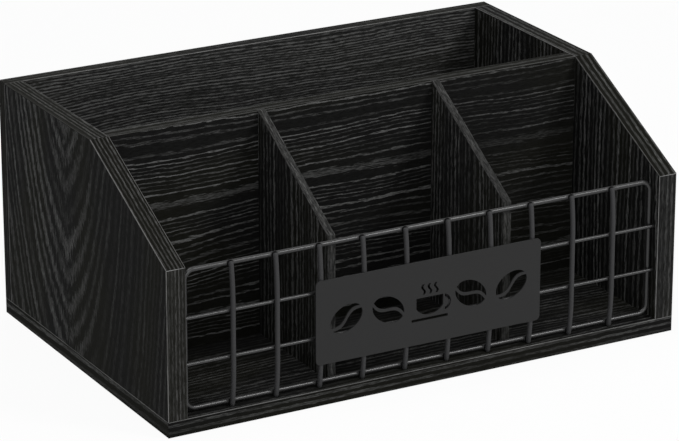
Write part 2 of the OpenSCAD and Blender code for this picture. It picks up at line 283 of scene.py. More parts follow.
# %% Grain figure inputs
FIGURE_INPUTS = {
    "Ring width": 4.0,
    "Axis lean": 0.05,
    "Axis foot": 400.0,
    "Slow wander": 8.0,
    "Fine wander": 1.6,
    "Wobble": 0.7,
    "Uneven": 2.2,
    "Line width": 0.45,
    "Plain share": 0.15,
    "Fray": 1.2,
    "Tip": 0.0,
    "Lively past": -1000.0,
    "Quiet past": 1000.0,
}


def socket_in(tree, name, kind="NodeSocketFloat", value=None):
    socket = tree.interface.new_socket(name, in_out="INPUT", socket_type=kind)
    if value is not None:
        socket.default_value = value


def socket_out(tree, name, kind="NodeSocketFloat"):
    tree.interface.new_socket(name, in_out="OUTPUT", socket_type=kind)


def off_centre(tree, value, size):
    """A noise value, which lies round 0.5, turned into a push of up to half of size either way."""
    return product(tree, calc(tree, "SUBTRACT", value, 0.5), size)


print(f"grain figure inputs: {list(FIGURE_INPUTS)}")

# %% Counting the rings
# Each stretch is how fast a noise changes per millimetre along, across and through the board
SLOW_STRETCH = (0.006, 0.02, 0.03)
FINE_STRETCH = (0.05, 0.09, 0.08)
WOBBLE_STRETCH = (0.16, 0.22, 0.2)
STREAK_STRETCH = (0.11, 1.5, 1.5)
ZONE_STRETCH = (0.0, 0.045, 0.0)
TIP_REACH, TIP_FRAY = 12.0, 0.3


def bent_across(tree, given, point, across):
    """The place across the board, pushed aside by three sizes of noise."""
    slow = off_centre(tree, noise(tree, point, SLOW_STRETCH), given["Slow wander"])
    fine = off_centre(tree, noise(tree, point, FINE_STRETCH), given["Fine wander"])
    wobble = off_centre(tree, noise(tree, point, WOBBLE_STRETCH, 2.0), given["Wobble"])
    return calc(tree, "ADD", across, calc(tree, "ADD", calc(tree, "ADD", slow, fine), wobble))


def trunk_radius(tree, given, point, axes):
    """The distance from the trunk's leaning axis, and how far the arches are drawn out there."""
    across = bent_across(tree, given, point, axes["Y"])
    to_foot = calc(tree, "SUBTRACT", given["Axis foot"], axes["X"])
    depth = calc(tree, "MULTIPLY_ADD", to_foot, given["Axis lean"], axes["Z"])
    squares = calc(tree, "ADD", calc(tree, "POWER", across, 2.0), calc(tree, "POWER", depth, 2.0))
    near_axis = calc(tree, "EXPONENT", calc(tree, "DIVIDE", calc(tree, "ABSOLUTE", across), -TIP_REACH))
    tip = product(tree, near_axis, given["Tip"])
    return calc(tree, "SUBTRACT", calc(tree, "SQRT", squares), tip), tip


def ring_count(tree, given, point, radius, tip):
    """The number of rings out to that radius, at an uneven pace and with frayed edges."""
    uneven = off_centre(tree, noise(tree, vector(tree, 0.0, radius), ZONE_STRETCH), given["Uneven"])
    rings = calc(tree, "ADD", calc(tree, "DIVIDE", radius, given["Ring width"]), uneven)
    fray = calc(tree, "MULTIPLY_ADD", tip, TIP_FRAY, given["Fray"])
    return calc(tree, "ADD", rings, off_centre(tree, noise(tree, point, STREAK_STRETCH, 2.0), fray))


print(f"arches are drawn out within about {TIP_REACH} mm of the axis")

# %% Drawing the lines
SOFT_EDGE = 0.4
FULL_MOOD, MOOD_SHUFFLE = 0.7, 7.0
LINE_STRENGTH = (0.3, 1.0)
CORE_START, CORE_STRENGTH = 0.55, (1.0, 0.5)
FADE_STRETCH = (0.018, 0.12, 0.1)
FADE_RANGE, FADE_STRENGTH = (0.3, 0.55), (0.4, 1.0)
LIVELY_REACH, LIVELY_STRENGTH = 60.0, (0.3, 1.0)
QUIET_REACH, QUIET_STRENGTH = 70.0, (1.0, 0.45)


def ring_line(tree, given, rings):
    """Each ring's line: its soft-edged band, the strength it draws by lot, and its hollow core."""
    peak = calc(tree, "PINGPONG", product(tree, calc(tree, "FRACT", rings), 2.0), 1.0)
    inside = ramp(tree, peak, calc(tree, "SUBTRACT", 1.0, given["Line width"]), 1.0, smooth=False)
    lot = {"W": calc(tree, "FLOOR", rings)}
    mood = result(tree, "ShaderNodeTexWhiteNoise", lot, noise_dimensions="1D")
    strong = ramp(tree, mood, given["Plain share"], FULL_MOOD, smooth=False)
    other_mood = calc(tree, "FRACT", product(tree, mood, MOOD_SHUFFLE))
    core = product(tree, ramp(tree, inside, CORE_START, 1.0), other_mood)
    band = ramp(tree, inside, 0.0, SOFT_EDGE)
    return band, between(tree, strong, *LINE_STRENGTH), between(tree, core, *CORE_STRENGTH)


def dimmed(tree, given, point, axes):
    """What is left of the lines at a place: they fade in patches, on a calm part and at a quiet end."""
    patches = ramp(tree, noise(tree, point, FADE_STRETCH, 2.0), *FADE_RANGE)
    lively_from = calc(tree, "SUBTRACT", given["Lively past"], LIVELY_REACH)
    lively = ramp(tree, axes["Y"], lively_from, given["Lively past"])
    quiet_from = calc(tree, "SUBTRACT", given["Quiet past"], QUIET_REACH)
    quiet = ramp(tree, axes["X"], quiet_from, given["Quiet past"])
    shares = ((patches, FADE_STRENGTH), (lively, LIVELY_STRENGTH), (quiet, QUIET_STRENGTH))
    return [between(tree, share, *strength) for share, strength in shares]


print(f"lines fade over {LIVELY_REACH} mm across a board and {QUIET_REACH} mm along it")

# %% Grain figure group
PORE_STRETCH, PORE_ROUGHNESS = (0.25, 1.9, 1.9), 0.6
PORE_RANGE, TINT_RANGE = (0.38, 0.62), (0.4, 0.6)


def figure_group():
    tree = bpy.data.node_groups.new("grain_figure", "ShaderNodeTree")
    socket_in(tree, "Point", "NodeSocketVector")
    for name, value in FIGURE_INPUTS.items():
        socket_in(tree, name, value=value)
    for name in ("Line", "Pore", "Tint"):
        socket_out(tree, name)
    given = add(tree, "NodeGroupInput").outputs
    point = given["Point"]
    axes = add(tree, "ShaderNodeSeparateXYZ", {0: point}).outputs
    rings = ring_count(tree, given, point, *trunk_radius(tree, given, point, axes))
    line = product(tree, *ring_line(tree, given, rings), *dimmed(tree, given, point, axes))
    pore = ramp(tree, noise(tree, point, PORE_STRETCH, 2.0, PORE_ROUGHNESS), *PORE_RANGE)
    tint = ramp(tree, noise(tree, point, SLOW_STRETCH, 0.0), *TINT_RANGE)
    add(tree, "NodeGroupOutput", {"Line": line, "Pore": pore, "Tint": tint})
    return tree


grain_figure = figure_group()
print(f"{grain_figure.name}: {len(grain_figure.nodes)} nodes")

# %% [markdown]
# The group only says where the lines and pores are. The material turns that into colour, gloss and
# relief. The film is near black between the lines and dark grey on them, a little warmer in some
# places than in others. Its gloss is low, and the same constants serve every board: they sit on the
# shader's own sockets. A Mapping node turns the object's coordinates into the board's directions and
# puts the trunk's axis where the board's arches have their middle.

# %% Film colours and shader helpers
FILM_DARK = (0.0055, 0.0055, 0.0053, 1.0)
FILM_WARM = (0.0066, 0.0066, 0.0050, 1.0)
FILM_LINE = (0.100, 0.100, 0.097, 1.0)
FILM_GLOSS = 0.005
FILM_ROUGHNESS = (0.5, 0.62)
FILM_RELIEF, FILM_BUMP = 0.12 * MM, 0.35
LINE_HEIGHT, PORE_HEIGHT = 0.6, 0.4
SPECKLE = (0.3, 1.05)
HAZE_FLOOR = 0.3
ALONG_X, ALONG_Y, ALONG_Z = Vector((1, 0, 0)), Vector((0, 1, 0)), Vector((0, 0, 1))


def board_point(tree, along=ALONG_X, across=ALONG_Y, centre=(0, 0, 0)):
    """Object coordinates in millimetres, turned so that X runs along the grain, from that centre."""
    turned = Matrix((along, across, along.cross(across)))
    object_point = add(tree, "ShaderNodeTexCoord").outputs["Object"]
    mapping = {"Vector": object_point, "Rotation": turned.to_euler()}
    mapping["Location"] = -(turned @ Vector(centre)) / MM
    mapping["Scale"] = (1 / MM, 1 / MM, 1 / MM)
    return result(tree, "ShaderNodeMapping", mapping)


def blank_material(name):
    """A new material with only an output, and the shader that feeds it."""
    material = bpy.data.materials.new(name)
    tree = emptied(material)
    shader = add(tree, "ShaderNodeBsdfPrincipled")
    add(tree, "ShaderNodeOutputMaterial", {"Surface": shader.outputs[0]})
    return material, tree, shader


def dress(tree, shader, colour, rough, gloss, height, relief, strength):
    """Feeds a shader its colour, its roughness and the relief of its surface, and sets its gloss."""
    fill(tree, shader.inputs["Base Color"], colour)
    fill(tree, shader.inputs["Roughness"], rough)
    shader.inputs["Specular IOR Level"].default_value = gloss
    bump = result(tree, "ShaderNodeBump", {"Strength": strength, "Distance": relief, "Height": height})
    fill(tree, shader.inputs["Normal"], bump)


def blend(tree, share, low, high):
    """Colour mix: low at share 0 and high at share 1."""
    made = add(tree, "ShaderNodeMix", {"Factor": share}, data_type="RGBA")
    fill(tree, made.inputs[6], low)
    fill(tree, made.inputs[7], high)
    return made.outputs[2]


print(f"film: ground {FILM_DARK[:3]}, lines {FILM_LINE[:3]}, gloss {FILM_GLOSS}")

# %% Film material, with its worn edges and their painted highlight
# Colours of the scraped arrises: partly wear, partly a painted highlight
SHEEN_WEAR_DARK = (0.090, 0.090, 0.088, 1.0)
SHEEN_WEAR_PALE = (0.260, 0.257, 0.250, 1.0)
SHEEN_WEAR_PATCH, SHEEN_WEAR_DRIFT = (1 / 9,) * 3, (1 / 90,) * 3
SHEEN_WEAR_DETAIL, SHEEN_WEAR_ROUGHNESS = 3.0, 0.6
SHEEN_WEAR_RANGE, SHEEN_WEAR_FALL = (0.6, 1.2), 2.0


def worn_and_highlit(tree, point, colour):
    """The colour, paler where the piece's per-corner wear and sheen value is high and the noise lets it:
    scraped film, and a painted highlight on the arris.
    """
    sheen_wear = add(tree, "ShaderNodeAttribute", attribute_name="wear_and_sheen").outputs["Fac"]
    patch = noise(tree, point, SHEEN_WEAR_PATCH, SHEEN_WEAR_DETAIL, SHEEN_WEAR_ROUGHNESS)
    share = ramp(tree, calc(tree, "ADD", patch, noise(tree, point, SHEEN_WEAR_DRIFT)), *SHEEN_WEAR_RANGE)
    pale_sheen = blend(tree, share, SHEEN_WEAR_DARK, SHEEN_WEAR_PALE)
    return blend(tree, calc(tree, "POWER", sheen_wear, SHEEN_WEAR_FALL), colour, pale_sheen)


def film_material(name, along, across, centre, contrast=1.0, haze=0.03, edged=False, **figure):
    material, tree, shader = blank_material(name)
    point = board_point(tree, along, across, centre)
    group = add(tree, "ShaderNodeGroup", node_tree=grain_figure)
    fill(tree, group.inputs["Point"], point)
    for label, value in figure.items():
        fill(tree, group.inputs[label.replace("_", " ").capitalize()], value)
    line, pore, tint = (group.outputs[name] for name in ("Line", "Pore", "Tint"))
    share = product(tree, line, between(tree, pore, *SPECKLE), contrast)
    veil = calc(tree, "MULTIPLY_ADD", pore, haze, haze * HAZE_FLOOR)
    share = calc(tree, "ADD", share, veil, clamp=True)
    colour = blend(tree, share, blend(tree, tint, FILM_DARK, FILM_WARM), FILM_LINE)
    # Pale arrises: scraped film with a painted highlight
    if edged:
        colour = worn_and_highlit(tree, point, colour)
    height = calc(tree, "MULTIPLY_ADD", pore, PORE_HEIGHT, product(tree, line, LINE_HEIGHT))
    rough = between(tree, share, *FILM_ROUGHNESS)
    dress(tree, shader, colour, rough, FILM_GLOSS, height, FILM_RELIEF, FILM_BUMP)
    return material


def paint(obj, material):
    """Gives an object its material, in place of the first one that it has."""
    if obj.data.materials:
        obj.data.materials[0] = material
    else:
        obj.data.materials.append(material)


# The worn edges' pale colour is partly a painted highlight
print(f"worn edges go from {SHEEN_WEAR_DARK[:3]} to {SHEEN_WEAR_PALE[:3]}")

# %% [markdown]
# ## The boards
#
# The sides and the short dividers have upright grain, and the back, the middle divider and the base
# have level grain, as sheets are cut so that the grain follows a panel's long or tall way. The boards
# themselves are flat slabs with grooves and holes, and the CAD nodes have exactly that shape, so they
# stay and only get their finish. Each board is cut from another place in the sheet, so each has its
# own ring width and its own axis. The left side's outer face shows arches that point down.

# %% Board finishes
UPRIGHT_GRAIN = dict(along=ALONG_Z, across=ALONG_Y)
LEVEL_GRAIN = dict(along=ALONG_X, across=ALONG_Z)
SHORT_CUT = dict(UPRIGHT_GRAIN, contrast=1.3, axis_lean=0.04, slow_wander=6.0, line_width=0.4)
BOARDS = {
    "left_side_panel": dict(
        UPRIGHT_GRAIN, centre=(-175.0, 19.0, 0.0), contrast=1.15, haze=0.04,
        ring_width=4.9, axis_lean=0.25, axis_foot=353.0, slow_wander=9.0, wobble=1.2,
        lively_past=10.0, tip=4.0,
    ),
    "right_side_panel": dict(
        UPRIGHT_GRAIN, centre=(162.5, 220.0, 0.0), contrast=1.25,
        ring_width=4.6, axis_lean=0.03, axis_foot=300.0, slow_wander=10.0, line_width=0.4,
    ),
    "back_panel": dict(
        LEVEL_GRAIN, centre=(0.0, 100.0, 240.0), contrast=1.7, haze=0.15,
        ring_width=1.9, axis_lean=0.03, axis_foot=500.0, slow_wander=12.0, line_width=0.5,
        fray=0.7, wobble=0.4,
    ),
    "middle_divider": dict(
        LEVEL_GRAIN, centre=(0.0, 0.0, -70.0), contrast=1.5,
        ring_width=3.6, axis_lean=0.03, axis_foot=600.0, slow_wander=16.0, uneven=6.0,
        plain_share=0.35, line_width=0.32, fray=0.7, quiet_past=90.0,
    ),
    "left_short_divider": dict(
        SHORT_CUT, centre=(-60.0, 120.0, 0.0), haze=0.06, ring_width=4.2, axis_foot=300.0,
    ),
    "right_short_divider": dict(
        SHORT_CUT, centre=(60.0, 110.0, 0.0), haze=0.08, ring_width=4.3, axis_foot=320.0,
    ),
    "base_panel": dict(
        along=ALONG_X, across=ALONG_Y, centre=(0.0, -190.0, 0.0), contrast=0.6,
        ring_width=4.2, axis_lean=0.03, axis_foot=500.0, slow_wander=14.0,
    ),
}

for node, cut in BOARDS.items():
    cut = dict(cut, centre=Vector(cut["centre"]) * MM)
    paint(nodes[node], film_material(f"film_{node}", **cut))
    print(f"{node}: rings {cut['ring_width']} mm")

# %% [markdown]
# ## Edge banding
#
# A faced board shows its core at a cut edge, so every edge that shows is covered with a thin strip
# of the same film. The strip is glued on, trimmed flush, and its corners are then eased with a
# scraper. That eased corner, called the arris, is what catches the light as a thin pale line round
# every board, and a box drawn without it looks like plain cardboard.
#
# The CAD strips have sharp corners. Each is replaced by a copy whose loose triangles are first merged
# into flat faces, and whose outer edges are then bevelled. A narrow border is cut into the strip's
# face as well. An attribute holds how pale each arris is and fades to 0 across that border, and the
# film's material turns paler and patchy where it is high. That is partly wear, for the film is
# scraped thin there, and partly a painted highlight: the value is set by the way each arris leans,
# and the arrises that face down get none.

# %% Bevelling helpers
MERGE = 0.001 * MM
FLAT_ANGLE = math.radians(1.0)
ARRIS_STEPS, ARRIS_PROFILE = 4, 0.62


def merged_copy(node):
    """A CAD node's shape as a bmesh whose loose triangles are joined into flat faces."""
    work = bmesh.new()
    work.from_mesh(nodes[node].data)
    bmesh.ops.remove_doubles(work, verts=work.verts, dist=MERGE)
    bmesh.ops.dissolve_limit(work, angle_limit=FLAT_ANGLE, verts=work.verts, edges=work.edges)
    work.normal_update()
    return work


def bevel(work, edges, width, steps):
    """Rounds those edges and gives back the new faces."""
    sizes = dict(offset=width, offset_type="OFFSET", segments=steps, profile=ARRIS_PROFILE)
    found = bmesh.ops.bevel(work, geom=edges, affect="EDGES", clamp_overlap=True, **sizes)
    for face in found["faces"]:
        face.smooth = True
    return found["faces"]


def keep(work, name):
    """Turns a bmesh into an object of that name in the scene."""
    mesh = bpy.data.meshes.new(name)
    work.to_mesh(mesh)
    work.free()
    piece = bpy.data.objects.new(name, mesh)
    scene.collection.objects.link(piece)
    return piece


def settle(piece, slot, *replaced):
    """The last step of every new piece: what it stands for and its body; its slot is not used."""
    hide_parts(*replaced)
    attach(piece, "root")


print("merged_copy, bevel, keep and settle ready")

# %% [markdown]
# The strips' own film has straight lines, since the tape is printed by the metre. Its lines run along
# the strip whichever way that points, so the material is made from the strip's direction and from the
# way it faces. Strips that point and face alike and have the same tone share one material. Their
# grain still differs, for the noise behind it is read at another place.

# %% Banding finishes
BAND_SLOT = "black_banding"
BAND_CUT = dict(
    ring_width=2.1, axis_lean=0.004, axis_foot=900.0, slow_wander=2.0, fine_wander=0.3,
    wobble=0.15, uneven=0.8, plain_share=0.1, line_width=0.5, edged=True,
)
BAND_AXIS_MM = 73.0
BAND_TONE = dict(contrast=0.8, haze=0.02, fray=0.5)
FRONT_BAND_TONE = dict(contrast=0.45, haze=0.1, fray=0.4)
THIN_BAND_TONE = dict(contrast=0.4, haze=0.3)
band_films = {}


def band_film(along, outward, tone):
    """The strip's film for that direction, made once and then shared."""
    key = tuple(round(c, 3) for c in (*along, *outward, *tone.values()))
    if key not in band_films:
        across = outward.cross(along)
        name = f"banding_{len(band_films) + 1}"
        centre = -BAND_AXIS_MM * MM * across
        band_films[key] = film_material(name, along, across, centre, **tone, **BAND_CUT)
    return band_films[key]


print(f"banding rings {BAND_CUT['ring_width']} mm, thin strips' haze {THIN_BAND_TONE['haze']}")

# %% Banding strips
ARRIS_WIDTH, THIN_ARRIS_WIDTH = 0.32 * MM, 0.25 * MM
RUNS_ALONG, SHOWS_END, LEANS_THAT_WAY = 0.9, 0.5, 0.7
BORDER_WIDTH = 0.25 * MM
OUT_FRONT, OUT_BACK, UP = Vector((0, -1, 0)), Vector((0, 1, 0)), Vector((0, 0, 1))
LEFT, RIGHT = Vector((-1, 0, 0)), Vector((1, 0, 0))
SLOPE_UP, SLOPE_DOWN = Vector((0, -0.5, 0.85)), Vector((0, -0.85, -0.5))

# Each strip: the way it faces, its ends that show, and how pale each of its arrises is, from wear and
# painted highlight
BANDS = {
    "base_front_band": (OUT_FRONT, (LEFT, RIGHT), ((UP, 0.7),)),
    "base_back_band": (OUT_BACK, (LEFT, RIGHT), ((UP, 0.85),)),
    "base_left_band": (LEFT, (), ((UP, 0.85),)),
    "base_right_band": (RIGHT, (), ((UP, 0.85),)),
    "back_top_band": (UP, (LEFT, RIGHT), ((OUT_FRONT, 0.8), (OUT_BACK, 0.5))),
    "back_left_band": (LEFT, (), ((OUT_FRONT, 0.8), (OUT_BACK, 0.8))),
    "back_right_band": (RIGHT, (), ((OUT_FRONT, 0.8), (OUT_BACK, 0.8))),
    "middle_top_band": (UP, (), ((OUT_FRONT, 0.45), (OUT_BACK, 0.35))),
    "left_side_top_band": (UP, (), ((RIGHT, 0.6), (LEFT, 0.4))),
    "right_side_top_band": (UP, (), ((LEFT, 0.8), (RIGHT, 0.6))),
}
FRONT_BANDS, THIN_BANDS = {}, {}
# Each side's slope arrises get their own share of wear and painted highlight
for side, slope_sheen_wear in (("left_side", 0.7), ("right_side", 0.4)):
    FRONT_BANDS[f"{side}_front_band"] = (OUT_FRONT, (UP,), ((UP, 1.0), (LEFT, 0.75), (RIGHT, 0.4)))
    slope_worn_and_lit = ((LEFT, slope_sheen_wear), (RIGHT, slope_sheen_wear))
    BANDS[f"{side}_slope_band"] = (SLOPE_UP, (SLOPE_DOWN,), slope_worn_and_lit)
for side in ("left_short", "right_short"):
    THIN_BANDS[f"{side}_front_band"] = (OUT_FRONT, (UP,), ())
    THIN_BANDS[f"{side}_slope_band"] = (SLOPE_UP, (SLOPE_DOWN,), ())


def edge_line(edge):
    return (edge.verts[1].co - edge.verts[0].co).normalized()


def arris_edges(face, along, free_ends):
    """The outer face's long edges, and its short ones where the strip's end shows."""
    chosen = []
    for edge in face.edges:
        other = next(f for f in edge.link_faces if f != face)
        runs_along = abs(edge_line(edge).dot(along)) > RUNS_ALONG
        if runs_along or any(other.normal.dot(end) > SHOWS_END for end in free_ends):
            chosen.append(edge)
    return chosen


def lean(face, outward):
    """The way an arris face leans out of the strip's own face."""
    return (face.normal - face.normal.dot(outward) * outward).normalized()


def wear_and_sheen_of(face, outward, worn_and_lit_ways):
    """How pale an arris face is, from wear and painted highlight, by the way that it leans."""
    leaning = [sheen_wear for way, sheen_wear in worn_and_lit_ways if lean(face, outward).dot(way) > LEANS_THAT_WAY]
    return max(leaning, default=0.0)


def give_wear_and_sheen(face, edge, wear_and_sheen, sheen_wear):
    """Gives the face's two corners on that edge their wear and painted highlight."""
    for corner in face.loops:
        if corner.vert in edge.verts:
            corner[wear_and_sheen] = sheen_wear


def make_band(node, facing, free_ends, worn_and_lit_ways, width, tone):
    work = merged_copy(node)
    # Arris paleness per corner: wear and painted highlight
    wear_and_sheen = work.loops.layers.float.new("wear_and_sheen")
    face = max(work.faces, key=lambda f: f.normal.dot(facing))
    outward = face.normal.copy()
    along = edge_line(max(face.edges, key=lambda e: e.calc_length()))
    arris = bevel(work, arris_edges(face, along, free_ends), width, ARRIS_STEPS)
    worn_and_lit = {part: wear_and_sheen_of(part, outward, worn_and_lit_ways) for part in arris}
    face = max(work.faces, key=lambda f: f.normal.dot(outward) * f.calc_area())
    border = bmesh.ops.inset_individual(work, faces=[face], thickness=BORDER_WIDTH, use_even_offset=True)
    for part, sheen_wear in worn_and_lit.items():
        for edge in part.edges:
            give_wear_and_sheen(part, edge, wear_and_sheen, sheen_wear)
            for rim in set(edge.link_faces) & set(border["faces"]):
                give_wear_and_sheen(rim, edge, wear_and_sheen, sheen_wear)
    piece = keep(work, f"{node}_strip")
    paint(piece, band_film(along, outward, tone))
    settle(piece, BAND_SLOT, node)
    print(f"{piece.name}: {len(piece.data.polygons)} faces, {len(arris)} of them on its arrises")


for node, strip in BANDS.items():
    make_band(node, *strip, ARRIS_WIDTH, BAND_TONE)
for node, strip in FRONT_BANDS.items():
    make_band(node, *strip, ARRIS_WIDTH, FRONT_BAND_TONE)
for node, strip in THIN_BANDS.items():
    make_band(node, *strip, THIN_ARRIS_WIDTH, THIN_BAND_TONE)

# %% [markdown]
# ## Powder coat
#
# The wires and the sign plate are steel under a black powder coat. The powder is baked until it
# flows, which leaves a satin skin with a faint ripple, like the skin of an orange. Two sizes of noise
# make it: one of under a millimetre for the ripple, and a finer one for the grain of the powder. The
# plate's coat is flatter than the wires', as it is on the real one, where a flat face shows less
# gloss than a round one.
#
# The uprights look a little paler between their edges than the level wires. All the wires have one
# powder coat, so the difference is painted: the uprights' copy is paler, as painted light for the
# floor's reflection down their middle, and the level wires' copy is a little darker, as painted
# shade. Near a weld the coat is rougher and loses its highlight, and the weld beads have a third
# coat, near black, which paints the shade round each crossing. The crossings are one pitch apart,
# so a repeating distance along X is enough to find them.

# %% Coatings
WIRE_SLOT, SIGN_SLOT = "wire_coating", "sign_coating"
RIPPLE_STRETCH, GRAIN_STRETCH = (1 / 0.9,) * 3, (1 / 0.25,) * 3
COAT_SHADES, GRAIN_RANGE = (0.85, 1.2), (0.3, 0.7)
ROUGHNESS_SWING, GRAIN_HEIGHT, COAT_BUMP = 0.06, 0.35, 0.3
WELD_REACH, WELD_ROUGHNESS = (3.6, 1.8), 0.75
UPRIGHT_COUNT = 10
upright_nodes = [f"upright_wire_{number}" for number in range(1, UPRIGHT_COUNT + 1)]
first_low, first_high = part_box(upright_nodes[0])
upright_pitch = (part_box(upright_nodes[-1])[0].x - first_low.x) / (UPRIGHT_COUNT - 1)


def near_uprights(tree, point):
    """1 at the uprights' places along X, where the wires are welded, and 0 between them."""
    along = add(tree, "ShaderNodeSeparateXYZ", {0: point}).outputs["X"]
    share = calc(tree, "FRACT", calc(tree, "DIVIDE", along, upright_pitch / MM))
    distance = calc(tree, "ABSOLUTE", calc(tree, "SUBTRACT", share, 0.5))
    near = ramp(tree, product(tree, distance, upright_pitch / MM), *WELD_REACH)
    row_half = UPRIGHT_COUNT / 2 * upright_pitch / MM
    return product(tree, near, calc(tree, "LESS_THAN", calc(tree, "ABSOLUTE", along), row_half))


def shade_of(colour, share):
    """A colour made darker or lighter by that share, with its alpha."""
    return (*(c * share for c in colour), 1.0)


def coating_material(name, colour, roughness, gloss, relief, welded=False):
    material, tree, shader = blank_material(name)
    point = board_point(tree)
    ripple, grain = noise(tree, point, RIPPLE_STRETCH), noise(tree, point, GRAIN_STRETCH)
    low, high = (shade_of(colour, share) for share in COAT_SHADES)
    powder = blend(tree, ramp(tree, grain, *GRAIN_RANGE), low, high)
    rough = between(tree, ripple, roughness - ROUGHNESS_SWING, roughness + ROUGHNESS_SWING)
    if welded:
        rough = calc(tree, "MULTIPLY_ADD", near_uprights(tree, point), WELD_ROUGHNESS - roughness, rough)
    height = calc(tree, "MULTIPLY_ADD", grain, GRAIN_HEIGHT, ripple)
    dress(tree, shader, powder, rough, gloss, height, relief, COAT_BUMP)
    return material


# One powder coat in two copies: the level wires' is darker as painted shade, the uprights' paler as
# painted light
shaded_rail_coat = coating_material("satin_rail_coat_painted_shade", (0.012, 0.012, 0.012), 0.31, 0.44, 0.006 * MM, True)
lit_upright_coat = coating_material("satin_upright_coat_painted_light", (0.015, 0.015, 0.016), 0.3, 0.44, 0.015 * MM, True)
# Near-black weld coat: dull welds whose darkness is painted shade round the crossings
weld_shade_coat = coating_material("dull_weld_coat_painted_shade", (0.004, 0.004, 0.004), 0.9, 0.05, 0.03 * MM)
plate_coat = coating_material("matte_plate_coat", (0.0165, 0.0165, 0.0165), 0.6, 0.15, 0.03 * MM)
print("coatings:", shaded_rail_coat.name, lit_upright_coat.name, weld_shade_coat.name, plate_coat.name)

# %% [markdown]
# ## Wires by Geometry Nodes
#
# The grille is bent and welded from straight wire, so each piece is a path with a round section. That
# is what Geometry Nodes are best at: a curve gives the path, a circle gives the section and Curve to
# Mesh joins them. A tree has named inputs for its sizes, which are read from the CAD nodes' boxes, so
# the wires follow the CAD if it changes. The modifier is run once, its result is kept as a plain mesh
# and the modifier is thrown away.

# %% Tree helpers
HARD_ANGLE = math.radians(40)
SECTION_SIDES = 24


def shape_tree(name, numbers="", **others):
    """A Geometry Nodes tree with those named inputs, and the sockets that give their values."""
    tree = bpy.data.node_groups.new(name, "GeometryNodeTree")
    socket_in(tree, "Geometry", "NodeSocketGeometry")
    for label in numbers.split():
        socket_in(tree, label)
    for label, kind in others.items():
        socket_in(tree, label, f"NodeSocket{kind}")
    socket_in(tree, "finish", "NodeSocketMaterial")
    socket_out(tree, "Geometry", "NodeSocketGeometry")
    return tree, add(tree, "NodeGroupInput").outputs


def end_tree(tree, given, geometry):
    """The last nodes: real faces, smooth shading with the hard edges kept, and the finish."""
    real = result(tree, "GeometryNodeRealizeInstances", {"Geometry": geometry})
    smooth = result(tree, "GeometryNodeSetShadeSmooth", {"Geometry": real}, domain="FACE")
    hard = calc(tree, "GREATER_THAN", result(tree, "GeometryNodeInputMeshEdgeAngle"), HARD_ANGLE)
    inputs = {"Geometry": smooth, "Selection": hard, "Shade Smooth": False}
    crisp = result(tree, "GeometryNodeSetShadeSmooth", inputs, domain="EDGE")
    painted = result(tree, "GeometryNodeSetMaterial", {"Geometry": crisp, "Material": given["finish"]})
    add(tree, "NodeGroupOutput", {"Geometry": painted})
    return tree


def grow(name, tree, points=(), **values):
    """Runs a tree on a mesh of those points, and keeps the result as a plain mesh object."""
    seed = bpy.data.meshes.new(f"{name}_seed")
    seed.from_pydata([tuple(p) for p in points], [], [])
    piece = bpy.data.objects.new(name, seed)
    scene.collection.objects.link(piece)
    modifier = piece.modifiers.new("shape", "NODES")
    modifier.node_group = tree
    for item in tree.interface.items_tree:
        if item.in_out == "INPUT" and item.name in values:
            modifier[item.identifier] = values[item.name]
    evaluated = piece.evaluated_get(bpy.context.evaluated_depsgraph_get())
    mesh = bpy.data.meshes.new_from_object(evaluated)
    piece.modifiers.remove(modifier)
    piece.data = mesh
    mesh.name = name
    print(f"{name}: {len(mesh.polygons)} faces")
    return piece


def sweep(tree, path, section, scale=1.0):
    """The section drawn along a path, and closed at its ends."""
    inputs = {"Curve": path, "Profile Curve": section, "Scale": scale, "Fill Caps": True}
    return result(tree, "GeometryNodeCurveToMesh", inputs)


def tube(tree, path, diameter, scale=1.0):
    """A round wire along a path."""
    inputs = {"Resolution": SECTION_SIDES, "Radius": calc(tree, "DIVIDE", diameter, 2.0)}
    return sweep(tree, path, result(tree, "GeometryNodeCurvePrimitiveCircle", inputs), scale)


print(f"wires get {SECTION_SIDES} sides")

# %% [markdown]
# The outer loop is one wire bent round four corners and butt-welded shut. A rectangle with filleted
# corners is exactly its centreline, turned upright.

# %% Outer loop
LOOP_BEND_RADIUS = 6.0 * MM
BEND_STEPS = 10
loop_low, loop_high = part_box("grille_loop")
loop_wire = loop_high.y - loop_low.y
loop_span = loop_high.x - loop_low.x - loop_wire


def loop_tree():
    tree, given = shape_tree("filleted_loop", "width height wire bend", place="Vector")
    inputs = {"Width": given["width"], "Height": given["height"]}
    path = result(tree, "GeometryNodeCurvePrimitiveQuadrilateral", inputs)
    inputs = {"Curve": path, "Radius": given["bend"], "Count": BEND_STEPS}
    path = result(tree, "GeometryNodeFilletCurve", inputs, mode="POLY")
    inputs = {"Geometry": path, "Rotation": (math.radians(90), 0, 0), "Translation": given["place"]}
    upright = result(tree, "GeometryNodeTransform", inputs)
    return end_tree(tree, given, tube(tree, upright, given["wire"]))


loop = grow(
    "grille_outer_loop", loop_tree(),
    width=loop_span, height=loop_high.z - loop_low.z - loop_wire,
    wire=loop_wire, bend=LOOP_BEND_RADIUS, place=(loop_low + loop_high) / 2, finish=shaded_rail_coat,
)
settle(loop, WIRE_SLOT, "grille_loop")

# %% [markdown]
# The two cross wires are straight and thinner. Their ends run into blind holes in the sides, which is
# all that holds the grille, so they are as long as the CAD ones.

# %% Cross wires
def straight(tree, start, end):
    return result(tree, "GeometryNodeCurvePrimitiveLine", {"Start": start, "End": end})


def rod_tree():
    tree, given = shape_tree("straight_rod", "wire", start="Vector", end="Vector")
    path = straight(tree, given["start"], given["end"])
    return end_tree(tree, given, tube(tree, path, given["wire"]))


